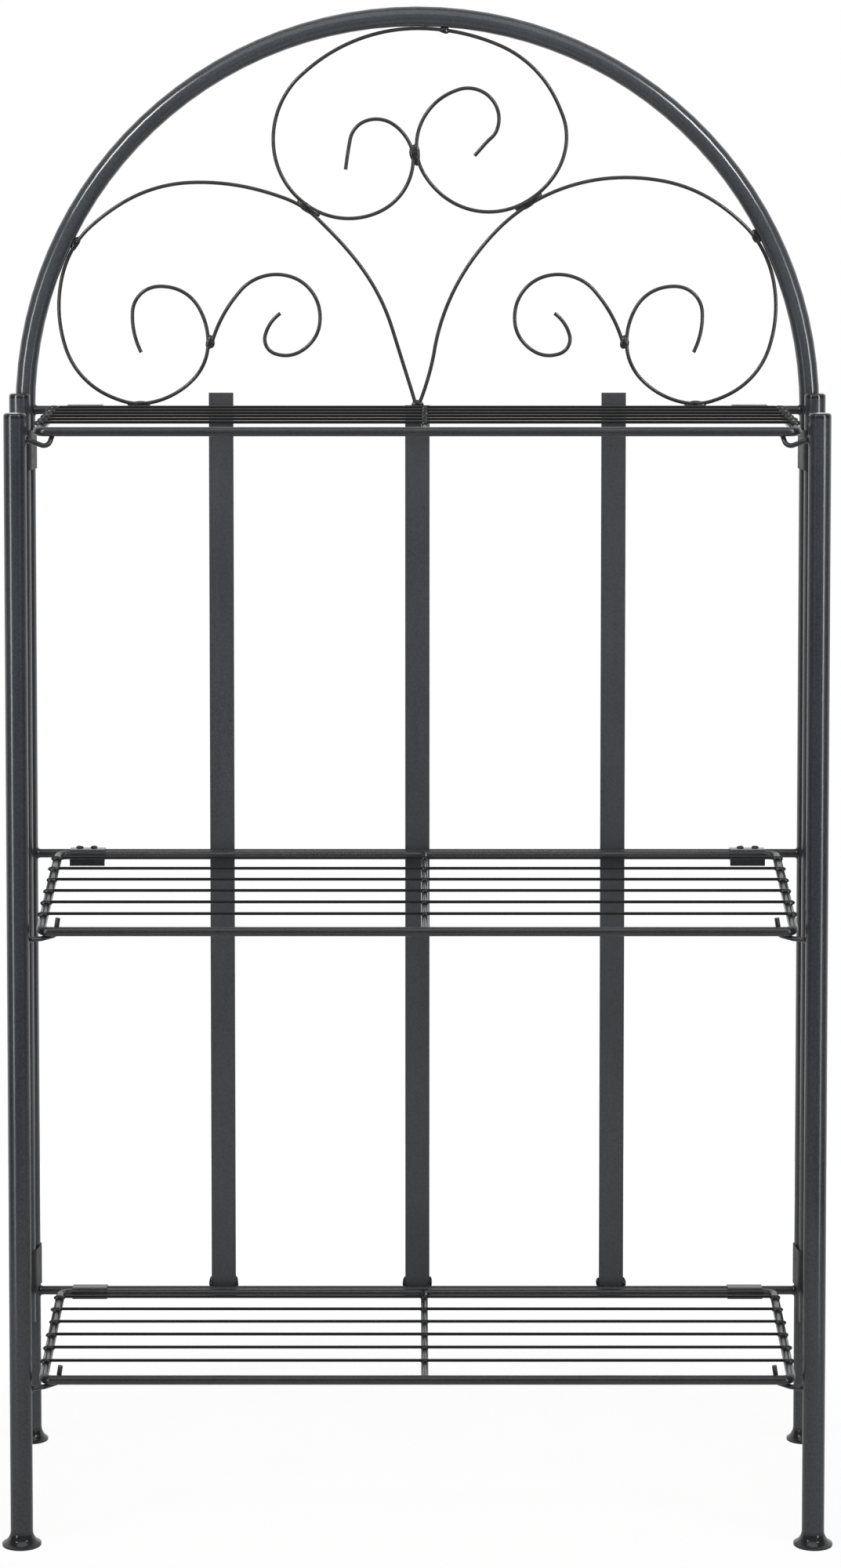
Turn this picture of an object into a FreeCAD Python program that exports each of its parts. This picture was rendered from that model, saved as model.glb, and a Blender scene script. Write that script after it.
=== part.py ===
import FreeCAD, Part
import Sketcher
import math
import os

# Folding bakers rack of steel tube, rod and wire: a back frame with a round top, two side frames
# and three wire shelves that swing up.  Millimetres.  +Z is up, the front faces -Y, and the origin
# is on the floor under the middle of the rack.

doc = FreeCAD.newDocument("bakers_rack")
Vector = FreeCAD.Vector

driving_sizes = {
    # back frame
    "arch_radius": 336,          # centreline of the round top, and each rear leg from the middle
    "arch_tube_radius": 8.5,
    "tube_wall": 1.2,            # wall of every tube
    "bottom_bar_height": 132,
    "shelf_pitch": 383.5,        # one crossbar to the next
    "crossbar_radius": 3.75,
    "frame_depth": 260,          # rear leg axis to front post axis
    "slat_width": 21,
    "slat_thickness": 3,
    "slat_spacing": 168.5,
    "slat_overrun": 14.5,        # outer slats above the top crossbar's axis
    # feet and end caps
    "rear_foot_radius": 14.2,
    "front_foot_radius": 15.75,
    "foot_height": 12,
    "foot_edge": 1.5,            # upright rim at the floor
    "spigot_length": 14,         # part of a foot or cap inside its tube
    "spigot_clearance": 0.1,
    "cap_height": 4,
    "cap_rounding": 2.5,
    # scroll wires
    "scroll_wire_radius": 1.6,
    "weld_gap": 0.12,            # where two wires lie side by side
    # side frames
    "post_radius": 9,
    "post_rise": 15.5,           # top of the posts above the top crossbar's axis
    "toe_in": 17,                # front post nearer the middle than the rear leg
    "hinge_post_offset": 3,      # hinge post further out than the rear leg
    "hinge_post_gap": 1,         # rear leg to hinge post, front to back
    "hinge_post_drop": 22,       # foot of the hinge post below the bottom crossbar's axis
    "side_rail_radius": 3.75,
    "side_rail_drop": 10,        # side rail below the front rod of its shelf
    "strap_height": 34,
    "strap_sheet": 1.2,
    "strap_inset": 33,           # strap's middle from the top crossbar, down
    "strap_rise": 24,            # strap's middle from the bottom crossbar, up
    "running_clearance": 0.15,   # round every rod or post that turns in sheet metal
    # shelves
    "shelf_rod_radius": 3.75,
    "shelf_corner_radius": 8,
    "hinge_rod_gap": 1.5,        # crossbar to the shelf's rear rod
    "front_rod_setback": 9,      # front post axis to the shelf's front rod
    "shelf_side_gap": 14.75,     # shelf to rear leg
    "shelf_front_gap": 4.25,     # shelf to front post
    "middle_shelf_drop": 18,     # front rod of the middle shelf below its rear rod
    "shelf_wire_radius": 1.25,
    "shelf_wire_overhang": 1.5,  # wire beyond the front corner's rod centre
    "first_wire": 27.4,          # rear rod to the first wire
    "wire_count": 6,
    "crossrod_radius": 3,
    "crossrod_offset": 6,        # crossrod to the right of the middle
    # sheet-metal clips at the rear rods
    "clip_width": 30,
    "clip_sheet": 1.2,
    "clip_inset": 25,            # clip's middle from the shelf's rear corner
    "clip_tail": 8.5,            # tail of the middle shelf's clips, below the rods' axes
    # hooks at the front posts
    "hook_wire_radius": 2,
    "hook_seat_gap": 0.3,        # front rod above its hook
    "hook_bend_radius": 3,
    "hook_reach": 9,             # post to the bend under the shelf's corner
    "hook_setback": 2,           # that bend behind the front rod
    "hook_stub_reach": 19.5,     # post to the upright stub
    "hook_stub_gap": 1,          # front rod to the stub behind it
    "hook_stub_foot": 4,         # foot of the stub below the front rod's axis
    "hook_stub_top": 9.8,        # and its top above that axis
    "hook_stub_lean": 2,         # top of the stub nearer the middle than its foot
    # round hooks under the top shelf
    "ring_hook_bend_radius": 6,
    "ring_hook_root": 4.6,       # where it leaves the post, below the front rod's axis
    "ring_hook_reach": 16.5,     # post to the lowest point
    "ring_hook_dip": 12.6,       # bend's corner below the front rod's axis
    "ring_hook_end_reach": 21,   # post to the end behind the front rod
    "ring_hook_end_back": 8,     # that end behind the front rod's axis
    "ring_hook_end_top": 1.5,    # and above it
}
sheet = doc.addObject("Spreadsheet::Sheet", "sizes")
for row, (alias, number) in enumerate(driving_sizes.items(), start=1):
    sheet.set(f"A{row}", alias)
    sheet.set(f"B{row}", str(number))
    sheet.setAlias(f"B{row}", alias)
doc.recompute()


def mm(expression):
    """Number that an expression of the sheet gives now."""
    return float(sheet.evalExpression(expression))


# Places that several pieces share, as expressions of the sheet.
arch_y = "((sizes.frame_depth + sizes.front_foot_radius - sizes.rear_foot_radius) / 2)"
front_post_y = f"({arch_y} - sizes.frame_depth)"
front_post_x = "(sizes.arch_radius - sizes.toe_in)"
hinge_post_x = "(sizes.arch_radius + sizes.hinge_post_offset)"
hinge_post_step = "(sizes.arch_tube_radius + sizes.hinge_post_gap + sizes.post_radius)"
hinge_post_y = f"({arch_y} - {hinge_post_step})"
bar_height = {
    "top": "(sizes.bottom_bar_height + 2 * sizes.shelf_pitch)",
    "middle": "(sizes.bottom_bar_height + sizes.shelf_pitch)",
    "bottom": "sizes.bottom_bar_height",
}
rod_step = "(sizes.crossbar_radius + sizes.hinge_rod_gap + sizes.shelf_rod_radius)"
hinge_rod_y = f"({arch_y} - {rod_step})"
shelf_depth = f"(sizes.frame_depth - {rod_step} - sizes.front_rod_setback)"
shelf_rear_half = ("(sizes.arch_radius - sizes.arch_tube_radius"
                   " - sizes.shelf_side_gap - sizes.shelf_rod_radius)")
shelf_front_half = (f"({front_post_x} - sizes.post_radius"
                    " - sizes.shelf_front_gap - sizes.shelf_rod_radius)")
shelf_drop = {"top": "0", "middle": "sizes.middle_shelf_drop", "bottom": "0"}
post_top = f"({bar_height['top']} + sizes.post_rise - sizes.cap_height)"
sides = {"left": -1, "right": 1}
tool_length = 8        # length of a cutting solid, in radii of the round that it cuts


def place(piece, x="0", y="0", z="0", axis=(0, 0, 1), angle="0", within=None):
    """Bind a piece's place, and its turn in degrees about an axis, to the sheet."""
    turn = f"rotation(vector({axis[0]}; {axis[1]}; {axis[2]}); {angle})"
    own_place = f"placement(vector({x}; {y}; {z}); {turn})"
    piece.setExpression("Placement", f"{within} * {own_place}" if within else own_place)


# ---- building blocks -----------------------------------------------------------------------

def new_body(label):
    body = doc.addObject("PartDesign::Body", label)
    body.Label = label
    return body


def new_sketch(body, role, name):
    """Sketch on one of the body's own origin planes."""
    sketch = body.newObject("Sketcher::SketchObject", name)
    plane = next(item for item in body.Origin.OriginFeatures if item.Role == role)
    sketch.AttachmentSupport = [(plane, "")]
    sketch.MapMode = "FlatFace"
    return sketch


def dimension(sketch, kind, *where):
    """Dimension whose last argument is an expression of the sheet."""
    *geometry, expression = where
    index = sketch.addConstraint(Sketcher.Constraint(kind, *geometry, mm(expression)))
    sketch.setExpression(f"Constraints[{index}]", expression)


def fix_point(sketch, geometry, end, x, y):
    """Hold one point of a sketch at x, y from the sketch's origin."""
    dimension(sketch, "DistanceX", -1, 1, geometry, end, x)
    dimension(sketch, "DistanceY", -1, 1, geometry, end, y)


def draw_circle(sketch, radius, x="0", y="0"):
    circle = Part.Circle(Vector(mm(x), mm(y), 0), Vector(0, 0, 1), mm(radius))
    index = sketch.addGeometry(circle)
    dimension(sketch, "Radius", index, radius)
    fix_point(sketch, index, 3, x, y)


def draw_outline(sketch, corners, arc_centre_height=()):
    """Closed outline through the corners.  An edge with a centre height is an arc."""
    points = [Vector(mm(x), mm(y), 0) for x, y in corners]
    ends = []
    for index, start in enumerate(points):
        finish = points[(index + 1) % len(points)]
        if index not in arc_centre_height:
            edge = sketch.addGeometry(Part.LineSegment(start, finish))
            ends.append((edge, 1, 2))
            continue
        centre_y = mm(arc_centre_height[index])
        centre_x = ((finish.x**2 - start.x**2 + (finish.y - centre_y)**2 - (start.y - centre_y)**2)
                    / (2 * (finish.x - start.x)))
        centre = Vector(centre_x, centre_y, 0)
        counter_clockwise = (start - centre).cross(finish - centre).z > 0
        first, last = (start, finish) if counter_clockwise else (finish, start)
        circle = Part.Circle(centre, Vector(0, 0, 1), (start - centre).Length)
        first_angle = math.atan2(first.y - centre.y, first.x - centre.x)
        last_angle = math.atan2(last.y - centre.y, last.x - centre.x)
        edge = sketch.addGeometry(Part.ArcOfCircle(circle, first_angle, last_angle))
        ends.append((edge, 1, 2) if counter_clockwise else (edge, 2, 1))
        dimension(sketch, "DistanceY", -1, 1, edge, 3, arc_centre_height[index])
    for index, (x, y) in enumerate(corners):
        edge, start_end, _ = ends[index]
        before, _, finish_end = ends[index - 1]
        sketch.addConstraint(Sketcher.Constraint("Coincident", before, finish_end, edge, start_end))
        fix_point(sketch, edge, start_end, x, y)


def draw_belt(sketch, near_radius, far_radius, reach):
    """Closed belt round two circles: one at the origin, one at reach along the sketch's x."""
    near, far, distance = mm(near_radius), mm(far_radius), mm(reach)
    lean = math.acos((near - far) / abs(distance))
    facing = 0 if distance > 0 else math.pi
    near_circle = Part.Circle(Vector(0, 0, 0), Vector(0, 0, 1), near)
    far_circle = Part.Circle(Vector(distance, 0, 0), Vector(0, 0, 1), far)
    near_arc = Part.ArcOfCircle(near_circle, facing + lean, facing + 2 * math.pi - lean)
    far_arc = Part.ArcOfCircle(far_circle, facing - lean, facing + lean)
    near_edge, far_edge, first_line, second_line = sketch.addGeometry([
        near_arc, far_arc,
        Part.LineSegment(near_arc.EndPoint, far_arc.StartPoint),
        Part.LineSegment(far_arc.EndPoint, near_arc.StartPoint)])
    for line, arc, line_end, arc_end in ((first_line, near_edge, 1, 2), (first_line, far_edge, 2, 1),
                                         (second_line, far_edge, 1, 2), (second_line, near_edge, 2, 1)):
        sketch.addConstraint(Sketcher.Constraint("Tangent", line, line_end, arc, arc_end))
    for edge, radius, x in ((near_edge, near_radius, "0"), (far_edge, far_radius, reach)):
        dimension(sketch, "Radius", edge, radius)
        fix_point(sketch, edge, 3, x, "0")


def pad(body, sketch, length, both_ways=False):
    feature = body.newObject("PartDesign::Pad", "Pad")
    feature.Profile = sketch
    feature.SideType = "Symmetric" if both_ways else "One side"
    feature.setExpression("Length", length)


def revolve(body, sketch):
    feature = body.newObject("PartDesign::Revolution", "Revolution")
    feature.Profile = sketch
    feature.ReferenceAxis = (sketch, ["V_Axis"])
    feature.Angle = 360


def straight_tube(label, radius, length):
    """Round tube that stands up from its own origin."""
    body = new_body(label)
    section = new_sketch(body, "XY_Plane", "Section")
    draw_circle(section, radius)
    draw_circle(section, f"{radius} - sizes.tube_wall")
    pad(body, section, length)
    return body


def coped_bar(label, radius, span, end_radius, end_offset="0"):
    """Round bar along its own X from one round member's axis to the next, hollowed to fit both."""
    body = new_body(label)
    section = new_sketch(body, "YZ_Plane", "Section")
    draw_circle(section, radius)
    pad(body, section, span, both_ways=True)
    ends = new_sketch(body, "XY_Plane", "Ends")
    for end in ("", "-"):
        draw_circle(ends, end_radius, f"{end}{span} / 2", end_offset)
    cope = body.newObject("PartDesign::Pocket", "Cope")
    cope.Profile = ends
    cope.SideType = "Symmetric"
    cope.setExpression("Length", f"{tool_length} * {radius}")
    return body


def foot(label, radius, tube_radius):
    """Trumpet-shaped foot with a spigot that stands in its tube."""
    body = new_body(label)
    section = new_sketch(body, "XZ_Plane", "Section")
    spigot = f"{tube_radius} - sizes.tube_wall - sizes.spigot_clearance"
    draw_outline(section, [
        ("0", "0"), (radius, "0"), (radius, "sizes.foot_edge"), (tube_radius, "sizes.foot_height"),
        (spigot, "sizes.foot_height"), (spigot, "sizes.foot_height + sizes.spigot_length"),
        ("0", "sizes.foot_height + sizes.spigot_length")], {2: "sizes.foot_height"})
    revolve(body, section)
    return body


def end_cap(label, radius):
    """Flat cap with a rounded edge and a spigot that hangs in its tube."""
    body = new_body(label)
    section = new_sketch(body, "XZ_Plane", "Section")
    spigot = f"{radius} - sizes.tube_wall - sizes.spigot_clearance"
    shoulder = "sizes.cap_height - sizes.cap_rounding"
    draw_outline(section, [
        ("0", "-sizes.spigot_length"), (spigot, "-sizes.spigot_length"), (spigot, "0"), (radius, "0"),
        (radius, shoulder), (f"{radius} - sizes.cap_rounding", "sizes.cap_height"),
        ("0", "sizes.cap_height")], {4: shoulder})
    revolve(body, section)
    return body


def group(label, members):
    """One sub-part of several alike solids."""
    compound = doc.addObject("Part::Compound", label)
    compound.Label = label
    compound.Links = members
    return compound


def set_shape(label, shape):
    """Sub-part whose shape comes from Part's own functions."""
    feature = doc.addObject("Part::Feature", label)
    feature.Label = label
    feature.Shape = shape
    return feature


def bent_edges(points, bend, closed=False):
    """Straight runs through the points, each corner rounded by an arc of the bend radius."""
    arcs = {}
    count = len(points)
    for index in range(count) if closed else range(1, count - 1):
        corner = points[index]
        back = (points[index - 1] - corner).normalize()
        onward = (points[(index + 1) % count] - corner).normalize()
        half = back.getAngle(onward) / 2
        inward = (back + onward).normalize()
        trim = bend / math.tan(half)
        middle = corner + inward * (bend / math.sin(half) - bend)
        arcs[index] = (corner + back * trim, middle, corner + onward * trim)
    edges = []
    for index in range(count if closed else count - 1):
        following = (index + 1) % count
        start = arcs[index][2] if index in arcs else points[index]
        finish = arcs[following][0] if following in arcs else points[following]
        edges.append(Part.LineSegment(start, finish).toShape())
        if following in arcs:
            edges.append(Part.Arc(*arcs[following]).toShape())
    return edges


def round_wire(edges, radius):
    """Round bar swept along edges that run on into each other."""
    first = edges[0]
    start = first.valueAt(first.FirstParameter)
    section = Part.Wire(Part.Circle(start, first.tangentAt(first.FirstParameter), radius).toShape())
    return Part.Wire(edges).makePipeShell([section], True, False)


# ---- scrolls -------------------------------------------------------------------------------
# Each scroll is a chain of tangent arcs through chosen points.  Two arcs join one point to the
# next, so the wire has no kink.

tiny = 1e-9                # lengths and squared bends taken for nothing
straight_enough = 1e-6     # sideways part of a chord, in parts of it, that is drawn as a line


def circle_heading(before, point, after):
    """Heading at a point of the circle through it and its two neighbours."""
    back, onward = point - before, after - point
    back_length, onward_length = back.Length, onward.Length
    return (back * (onward_length / back_length) + onward * (back_length / onward_length)).normalize()


def end_heading(point, neighbour, neighbour_heading):
    """Heading at an end, so that one arc reaches the neighbour with the neighbour's heading."""
    chord = (neighbour - point).normalize()
    return chord * (2 * neighbour_heading.dot(chord)) - neighbour_heading


def biarc_joint(start, start_heading, finish, finish_heading):
    """Point and heading where the two arcs of one span meet."""
    chord = finish - start
    bend = 2 * (1 - start_heading.dot(finish_heading))
    pull = chord.dot(start_heading + finish_heading)
    if abs(bend) < tiny:
        reach = chord.dot(chord) / (2 * pull)
    else:
        reach = (math.sqrt(pull**2 + bend * chord.dot(chord)) - pull) / bend
    first = start + start_heading * reach
    second = finish - finish_heading * reach
    return (first + second) * 0.5, (second - first).normalize()


def heading_arc(start, heading, finish):
    """Arc that leaves the start with a heading and ends at the finish."""
    chord = finish - start
    normal = chord - heading * chord.dot(heading)
    if normal.Length < straight_enough * chord.Length:
        return Part.LineSegment(start, finish).toShape()
    radius = chord.dot(chord) / (2 * normal.Length)
    centre = start + normal.normalize() * radius
    outward = start + chord * 0.5 - centre
    if outward.Length < tiny or chord.dot(heading) < 0:
        middle = centre - outward.normalize() * radius
    else:
        middle = centre + outward.normalize() * radius
    return Part.Arc(start, middle, finish).toShape()


def scroll_edges(points):
    headings = [circle_heading(*points[index - 1:index + 2]) for index in range(1, len(points) - 1)]
    first = end_heading(points[0], points[1], headings[0])
    last = end_heading(points[-1], points[-2], -headings[-1]) * -1
    headings = [first, *headings, last]
    edges = []
    for index in range(len(points) - 1):
        start, finish = points[index:index + 2]
        joint, joint_heading = biarc_joint(start, headings[index], finish, headings[index + 1])
        edges.append(heading_arc(start, headings[index], joint))
        edges.append(heading_arc(joint, joint_heading, finish))
    return edges


inner_radius = mm("sizes.arch_radius - sizes.arch_tube_radius")
wire_step = mm("2 * sizes.scroll_wire_radius + sizes.weld_gap")   # two wires side by side
bar_step = mm("sizes.crossbar_radius + sizes.scroll_wire_radius + sizes.weld_gap")


def scroll_point(across, up):
    """Point in the arch's plane, in parts of the arch's inner radius from its centre."""
    return Vector(across * inner_radius, 0, up * inner_radius)


def at_arch(across, up):
    """Point of a wire that touches the inside of the arch, in the given direction."""
    inset = mm("sizes.scroll_wire_radius + sizes.weld_gap")
    return scroll_point(across, up).normalize() * (inner_radius - inset)


def on_bar(across):
    """Point of a wire that lies on the top crossbar."""
    return Vector(across * inner_radius, 0, bar_step)


def scroll(label, points, side=1):
    """Scroll wire in the plane of the arch, mirrored for the left side."""
    turned = [Vector(side * point.x, point.y, point.z) for point in points]
    feature = set_shape(label, round_wire(scroll_edges(turned), mm("sizes.scroll_wire_radius")))
    place(feature, "0", arch_y, bar_height["top"])


def beside(point, direction):
    """Point of the wire that lies beside another, in a direction given in degrees."""
    turn = math.radians(direction)
    return point + Vector(math.cos(turn), 0, math.sin(turn)) * wire_step


# The two large scrolls rise side by side from the bar, touch the crown and the arch, and end in a
# loop that stands on the bar.  Only their rising parts differ.  All are drawn on the right.
crown_contact = {"left": scroll_point(0.283, 0.532), "right": scroll_point(0.287, 0.546)}
curl_contact = scroll_point(0.547, 0.177)
rising_points = {
    "left": [scroll_point(0.022, 0.073), scroll_point(0.129, 0.348), scroll_point(0.229, 0.469),
             beside(crown_contact["left"], -55), scroll_point(0.410, 0.574), scroll_point(0.770, 0.541)],
    "right": [scroll_point(0.042, 0.141), scroll_point(0.048, 0.175), scroll_point(0.142, 0.391),
              beside(crown_contact["right"], -58), scroll_point(0.505, 0.606), scroll_point(0.774, 0.546)],
}
loop_points = [
    at_arch(0.916, 0.402), scroll_point(0.931, 0.334), scroll_point(0.813, 0.040), on_bar(0.727),
    scroll_point(0.679, 0.024), curl_contact, scroll_point(0.645, 0.321), scroll_point(0.692, 0.321),
    scroll_point(0.726, 0.159), scroll_point(0.722, 0.151)]
curl_points = [
    beside(curl_contact, 180), scroll_point(0.470, 0.303), scroll_point(0.453, 0.322),
    scroll_point(0.256, 0.263), scroll_point(0.269, 0.188), scroll_point(0.359, 0.144),
    scroll_point(0.378, 0.150), scroll_point(0.366, 0.247), scroll_point(0.358, 0.253)]

# The crown is one wire: left curl, over the top, right curl.  The two curls touch in the middle.
crown_curl_contact = scroll_point(-0.011, 0.667)
crown_points = [
    scroll_point(-0.187, 0.628), scroll_point(-0.186, 0.638), scroll_point(-0.136, 0.754),
    scroll_point(-0.016, 0.686), crown_curl_contact, scroll_point(-0.011, 0.648),
    scroll_point(-0.268, 0.523),
    Vector(-crown_contact["left"].x, 0, crown_contact["left"].z),
    scroll_point(-0.325, 0.850), scroll_point(-0.287, 0.887), at_arch(0.002, 1.000),
    scroll_point(0.363, 0.806), scroll_point(0.388, 0.729), crown_contact["right"],
    scroll_point(0.254, 0.530), scroll_point(0.056, 0.569), beside(crown_curl_contact, 8),
    scroll_point(0.099, 0.833), scroll_point(0.120, 0.839), scroll_point(0.208, 0.733),
    scroll_point(0.173, 0.691), scroll_point(0.149, 0.664)]

bar_start = Vector(wire_step / 2, 0, bar_step)
scroll("scroll_crown", crown_points)
for side_name, side in sides.items():
    scroll(f"scroll_side_{side_name}", [bar_start, *rising_points[side_name], *loop_points], side)
    scroll(f"curl_{side_name}", curl_points, side)


# ---- back frame ----------------------------------------------------------------------------

def arch_tube():
    """One tube bent into two legs and the round top, open at the feet."""
    body = new_body("arch_tube")
    path = new_sketch(body, "XZ_Plane", "Path")
    half, foot_top, spring = mm("sizes.arch_radius"), mm("sizes.foot_height"), mm(bar_height["top"])
    circle = Part.Circle(Vector(0, spring, 0), Vector(0, 0, 1), half)
    left_leg, top, right_leg = path.addGeometry([
        Part.LineSegment(Vector(-half, foot_top, 0), Vector(-half, spring, 0)),
        Part.ArcOfCircle(circle, 0, math.pi),
        Part.LineSegment(Vector(half, spring, 0), Vector(half, foot_top, 0))])
    path.addConstraint([
        Sketcher.Constraint("Vertical", left_leg), Sketcher.Constraint("Vertical", right_leg),
        Sketcher.Constraint("Tangent", left_leg, 2, top, 2),
        Sketcher.Constraint("Tangent", right_leg, 1, top, 1)])
    fix_point(path, left_leg, 1, "-sizes.arch_radius", "sizes.foot_height")
    fix_point(path, top, 3, "0", bar_height["top"])
    dimension(path, "DistanceY", -1, 1, right_leg, 2, "sizes.foot_height")
    section = new_sketch(body, "XY_Plane", "Section")
    section.setExpression("AttachmentOffset", "placement(vector(0; 0; sizes.foot_height); "
                          "rotation(vector(0; 0; 1); 0))")
    draw_circle(section, "sizes.arch_tube_radius", "-sizes.arch_radius")
    draw_circle(section, "sizes.arch_tube_radius - sizes.tube_wall", "-sizes.arch_radius")
    doc.recompute()
    pipe = body.newObject("PartDesign::AdditivePipe", "Pipe")
    pipe.Profile = section
    pipe.Spine = (path, ["Edge1", "Edge2", "Edge3"])
    place(body, "0", arch_y)


arch_tube()
for side_name, side in sides.items():
    rear_foot = foot(f"rear_foot_{side_name}", "sizes.rear_foot_radius", "sizes.arch_tube_radius")
    place(rear_foot, f"{side} * sizes.arch_radius", arch_y)

for level, height in bar_height.items():
    crossbar = coped_bar(f"crossbar_{level}", "sizes.crossbar_radius", "2 * sizes.arch_radius",
                         "sizes.arch_tube_radius")
    place(crossbar, "0", arch_y, height)

slat_foot = f"({bar_height['bottom']} - sizes.crossbar_radius)"
slat_tops = {"left": "sizes.slat_overrun", "centre": "sizes.crossbar_radius",
             "right": "sizes.slat_overrun"}
for step, (slat_name, overrun) in zip((-1, 0, 1), slat_tops.items()):
    slat = doc.addObject("Part::Box", f"slat_{slat_name}")
    slat.Label = f"slat_{slat_name}"
    slat.setExpression("Length", "sizes.slat_width")
    slat.setExpression("Width", "sizes.slat_thickness")
    slat.setExpression("Height", f"{bar_height['top']} + {overrun} - {slat_foot}")
    place(slat, f"{step} * sizes.slat_spacing - sizes.slat_width / 2",
          f"{arch_y} + sizes.crossbar_radius", slat_foot)


# ---- side frames ---------------------------------------------------------------------------

rail_run = f"({hinge_post_y} - {front_post_y})"
rail_spread = f"({hinge_post_x} - {front_post_x})"
rail_span = f"(sqrt({rail_run}^2 + {rail_spread}^2))"
hinge_post_foot = f"({bar_height['bottom']} - sizes.hinge_post_drop)"


def strap(label, side, height):
    """Sheet-metal band round the rear leg and the hinge post."""
    body = new_body(label)
    section = new_sketch(body, "XY_Plane", "Section")
    leg_hole = "sizes.arch_tube_radius"
    post_hole = "(sizes.post_radius + sizes.running_clearance)"
    reach = f"(sqrt({hinge_post_step}^2 + sizes.hinge_post_offset^2))"
    draw_belt(section, leg_hole, post_hole, reach)
    draw_belt(section, f"{leg_hole} + sizes.strap_sheet", f"{post_hole} + sizes.strap_sheet", reach)
    pad(body, section, "sizes.strap_height", both_ways=True)
    place(body, f"{side} * sizes.arch_radius", arch_y, height,
          angle=f"{side} * atan(sizes.hinge_post_offset / {hinge_post_step}) - 90 deg")
    return body


def hook_wire(label, side, level, seat, points, bend):
    """Wire through points given across, behind and above the post's axis, cut off at the post."""
    wire_radius, post_radius = mm("sizes.hook_wire_radius"), mm("sizes.post_radius")
    path = [Vector(-side * across, back, up) for across, back, up in points]
    wire = round_wire(bent_edges(path, bend), wire_radius)
    length = tool_length * wire_radius
    post = Part.makeCylinder(post_radius, length, Vector(0, 0, seat - length / 2))
    feature = set_shape(label, wire.cut(post))
    place(feature, f"{side} * {front_post_x}", front_post_y, f"{bar_height[level]} - {shelf_drop[level]}")
    return feature


def hook(label, side, level):
    """Bent wire from the front post, under the corner of its shelf and up behind the front rod."""
    rod_radius, wire_radius = mm("sizes.shelf_rod_radius"), mm("sizes.hook_wire_radius")
    post_radius, depth, drop = mm("sizes.post_radius"), mm(shelf_depth), mm(shelf_drop[level])
    rod_back = mm(f"{hinge_rod_y} - {front_post_y}") - math.sqrt(depth**2 - drop**2)
    seat = -(rod_radius + wire_radius + mm("sizes.hook_seat_gap"))
    if level == "top":
        points = [(post_radius / 2, rod_back / 2, -mm("sizes.ring_hook_root")),
                  (post_radius + mm("sizes.ring_hook_reach"), rod_back, -mm("sizes.ring_hook_dip")),
                  (post_radius + mm("sizes.ring_hook_end_reach"),
                   rod_back + mm("sizes.ring_hook_end_back"), mm("sizes.ring_hook_end_top"))]
        return hook_wire(label, side, level, seat, points, mm("sizes.ring_hook_bend_radius"))
    stub_across = post_radius + mm("sizes.hook_stub_reach")
    stub_back = rod_back + rod_radius + wire_radius + mm("sizes.hook_stub_gap")
    points = [(post_radius / 2, rod_back / 2, seat),
              (post_radius + mm("sizes.hook_reach"), rod_back + mm("sizes.hook_setback"), seat),
              (stub_across, stub_back, -mm("sizes.hook_stub_foot")),
              (stub_across + mm("sizes.hook_stub_lean"), stub_back, mm("sizes.hook_stub_top"))]
    return hook_wire(label, side, level, seat, points, mm("sizes.hook_bend_radius"))


for side_name, side in sides.items():
    post = straight_tube(f"front_post_{side_name}", "sizes.post_radius", f"{post_top} - sizes.foot_height")
    place(post, f"{side} * {front_post_x}", front_post_y, "sizes.foot_height")
    front_foot = foot(f"front_foot_{side_name}", "sizes.front_foot_radius", "sizes.post_radius")
    place(front_foot, f"{side} * {front_post_x}", front_post_y)
    front_cap = end_cap(f"front_cap_{side_name}", "sizes.post_radius")
    place(front_cap, f"{side} * {front_post_x}", front_post_y, post_top)

    hinge_post = straight_tube(f"hinge_post_{side_name}", "sizes.post_radius",
                               f"{post_top} - {hinge_post_foot}")
    place(hinge_post, f"{side} * {hinge_post_x}", hinge_post_y, hinge_post_foot)
    hinge_cap = end_cap(f"hinge_cap_{side_name}", "sizes.post_radius")
    place(hinge_cap, f"{side} * {hinge_post_x}", hinge_post_y, post_top)

    for level, height in bar_height.items():
        rail = coped_bar(f"side_rail_{level}_{side_name}", "sizes.side_rail_radius", rail_span,
                         "sizes.post_radius")
        place(rail, f"{side} * ({front_post_x} + {rail_spread} / 2)", f"{front_post_y} + {rail_run} / 2",
              f"{height} - {shelf_drop[level]} - sizes.side_rail_drop",
              angle=f"90 deg - {side} * atan({rail_spread} / {rail_run})")

    group(f"side_straps_{side_name}", [
        strap(f"strap_top_{side_name}", side, f"{bar_height['top']} - sizes.strap_inset"),
        strap(f"strap_bottom_{side_name}", side, f"{bar_height['bottom']} + sizes.strap_rise")])
    group(f"shelf_hooks_{side_name}",
          [hook(f"hook_{level}_{side_name}", side, level) for level in bar_height])


# ---- shelves -------------------------------------------------------------------------------
# A shelf is drawn with its rear rod along X at the origin and its front at -Y, then set down at
# its crossbar, turned about the rear rod where its front hangs lower.

def shelf_frame(label):
    """Closed loop of round rod, a little narrower at the front."""
    rear, front, depth = mm(shelf_rear_half), mm(shelf_front_half), mm(shelf_depth)
    seam = Vector(0, 0, 0)       # ends of the rod, butted in the middle of the rear side
    corners = [seam, Vector(rear, 0, 0), Vector(front, -depth, 0),
               Vector(-front, -depth, 0), Vector(-rear, 0, 0), seam]
    edges = bent_edges(corners, mm("sizes.shelf_corner_radius"))
    return set_shape(label, round_wire(edges, mm("sizes.shelf_rod_radius")))


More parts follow.
